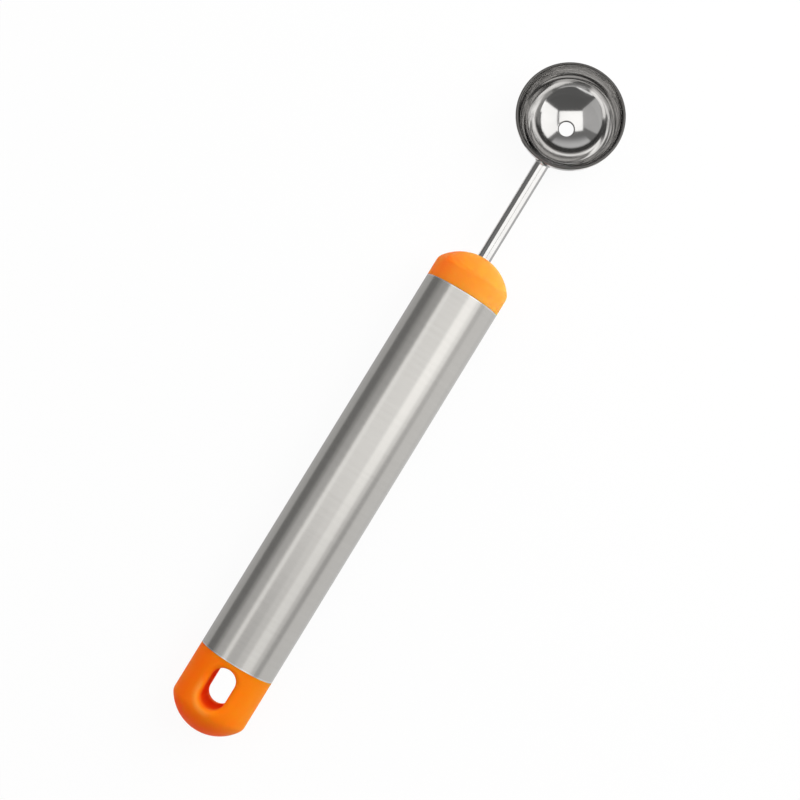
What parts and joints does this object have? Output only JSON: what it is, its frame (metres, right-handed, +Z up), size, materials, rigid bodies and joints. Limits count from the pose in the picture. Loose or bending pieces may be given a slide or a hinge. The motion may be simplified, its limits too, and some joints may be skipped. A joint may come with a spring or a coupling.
{
  "type": "melon baller",
  "caption": "Melon baller: a polished round steel scoop on a slim rod, with a brushed steel tube handle, orange plastic end caps and a hanging slot through the rear cap.",
  "frame": {"origin": "on the surface the tool lies on, under the middle of its overall length, in its plane of symmetry", "axes": "+X along the handle from the hanging end to the bowl, +Z up out of the bowl's mouth, +Y to the left seen from the hanging end"},
  "size_m": [0.2095, 0.03, 0.022],
  "materials": {
    "polished_steel": "stainless steel, mirror polished, with faint wiping marks",
    "brushed_steel": "stainless steel, brushed round the tube's circumference, satin",
    "orange_plastic": "moulded orange plastic, satin, slightly softened by light inside it"
  },
  "bodies": {
    "root": {"scoop_bowl": "polished_steel", "weld_bead": "polished_steel", "neck_rod": "polished_steel", "front_cap": "orange_plastic", "handle_tube": "brushed_steel", "rear_cap": "orange_plastic"}
  },
  "joints": []
}
